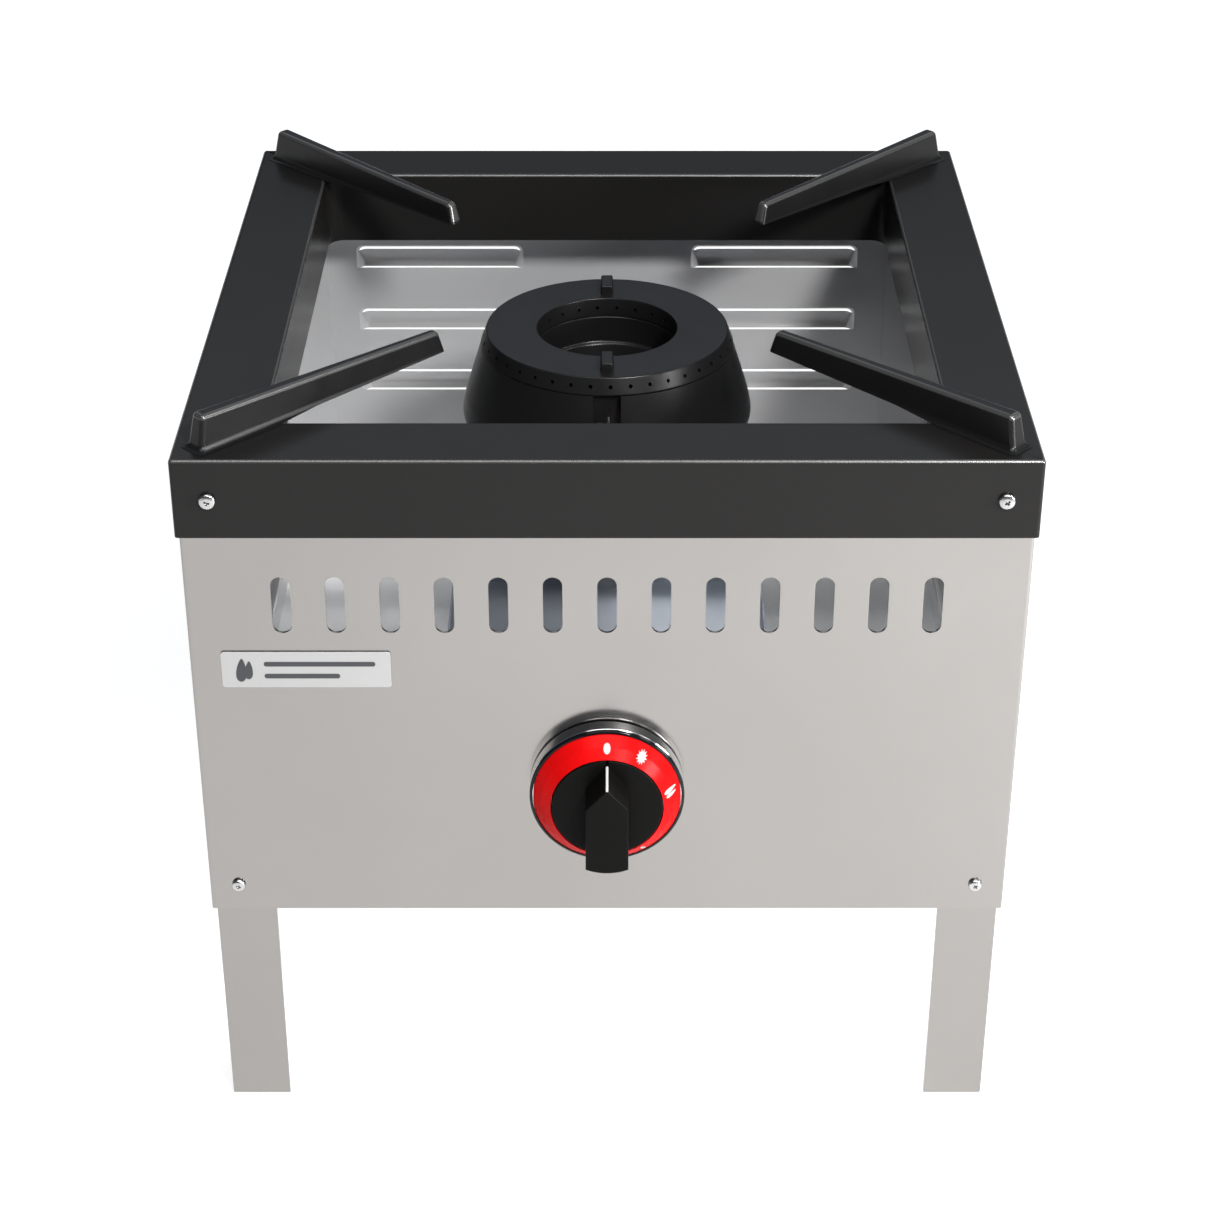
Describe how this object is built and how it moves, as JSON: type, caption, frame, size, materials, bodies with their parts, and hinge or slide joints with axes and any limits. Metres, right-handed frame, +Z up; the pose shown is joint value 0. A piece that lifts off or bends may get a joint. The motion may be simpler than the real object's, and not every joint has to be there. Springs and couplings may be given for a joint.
{
  "type": "gas stockpot stove",
  "caption": "Free-standing gas hot plate burner for large pots: square black frame with diagonal pan supports and a ring burner over a slotted steel cabinet on angle legs, with a red dial knob.",
  "frame": {"origin": "on the floor, under the middle of the whole stove's bounding box, knob and rear louvres included", "axes": "+X to the stove's right as seen from the front, +Y to the back, +Z up; the knob faces -Y"},
  "size_m": [0.4, 0.4386, 0.39],
  "materials": {
    "black_enamel": "black enamel, satin",
    "cast_iron": "black enamelled casting, satin",
    "stainless": "brushed stainless sheet",
    "galvanised": "zinc coated sheet, dull",
    "zinc_screw": "bright zinc plate",
    "label_white": "matt white",
    "dial_red": "red, semi-gloss",
    "knob_black": "black, satin",
    "bezel_black": "black, high gloss",
    "chrome": "mirror chrome",
    "brass": "machined brass",
    "copper": "bare copper tube",
    "spring_steel": "bright steel"
  },
  "bodies": {
    "stove": {"top_frame": "black_enamel", "front_panel": "stainless", "rear_panel": "stainless", "left_side_panel": "stainless", "right_side_panel": "stainless", "base_tray": "stainless", "heat_shield": "galvanised", "name_plate": "label_white", "burner_body": "cast_iron", "gas_tap_body": "brass", "tap_bracket": "galvanised", "flame_safety_magnet": "brass", "tap_return_spring": "spring_steel", "supply_pipe": "copper", "supply_nut_lower": "brass", "supply_nut_upper": "brass", "injector_holder": "galvanised", "injector": "brass", "injector_bracket": "galvanised", "pilot_bracket": "galvanised", "pilot_burner": "brass", "thermocouple": "spring_steel", "pilot_tube": "copper", "thermocouple_lead": "copper", "inlet_nipple": "brass", "inlet_locknut": "brass", "inlet_pipe": "copper", "dial_trim": "chrome", "dial_bezel": "bezel_black", "dial_scale": "dial_red", "pan_support_front_left": "cast_iron", "leg_front_left": "stainless", "frame_screw_front_left": "zinc_screw", "panel_screw_front_left": "zinc_screw", "burner_bolt_front_left": "zinc_screw", "pan_support_front_right": "cast_iron", "leg_front_right": "stainless", "frame_screw_front_right": "zinc_screw", "panel_screw_front_right": "zinc_screw", "burner_bolt_front_right": "zinc_screw", "burner_crossbar_front": "galvanised", "pan_support_rear_left": "cast_iron", "leg_rear_left": "stainless", "frame_screw_rear_left": "zinc_screw", "panel_screw_rear_left": "zinc_screw", "burner_bolt_rear_left": "zinc_screw", "pan_support_rear_right": "cast_iron", "leg_rear_right": "stainless", "frame_screw_rear_right": "zinc_screw", "panel_screw_rear_right": "zinc_screw", "burner_bolt_rear_right": "zinc_screw", "burner_crossbar_rear": "galvanised"},
    "push_rod": {"tap_push_rod": "brass"},
    "knob": {"knob_grip": "knob_black", "knob_pointer": "label_white", "tap_spindle": "brass"},
    "burner_cap": {"burner_cap": "cast_iron"},
    "air_shutter": {"air_shutter": "galvanised", "air_shutter_screw": "zinc_screw"}
  },
  "joints": [
    {"name": "knob_push", "type": "slide", "parent": "stove", "child": "push_rod", "axis": [0, 1, 0], "range_m": [0, 0.003], "stiffness_N_per_m": 600, "springref_m": -0.004},
    {"name": "knob_turn", "type": "hinge", "parent": "push_rod", "child": "knob", "pos_m": [0, -0.21933, 0.195], "axis": [0, 1, 0], "range_deg": [0, 150]},
    {"name": "burner_cap_lift", "type": "slide", "parent": "stove", "child": "burner_cap", "axis": [0, 0, 1], "range_m": [0, 0.055]},
    {"name": "air_shutter_slide", "type": "slide", "parent": "stove", "child": "air_shutter", "axis": [0, -1, 0], "range_m": [0, 0.012]}
  ]
}
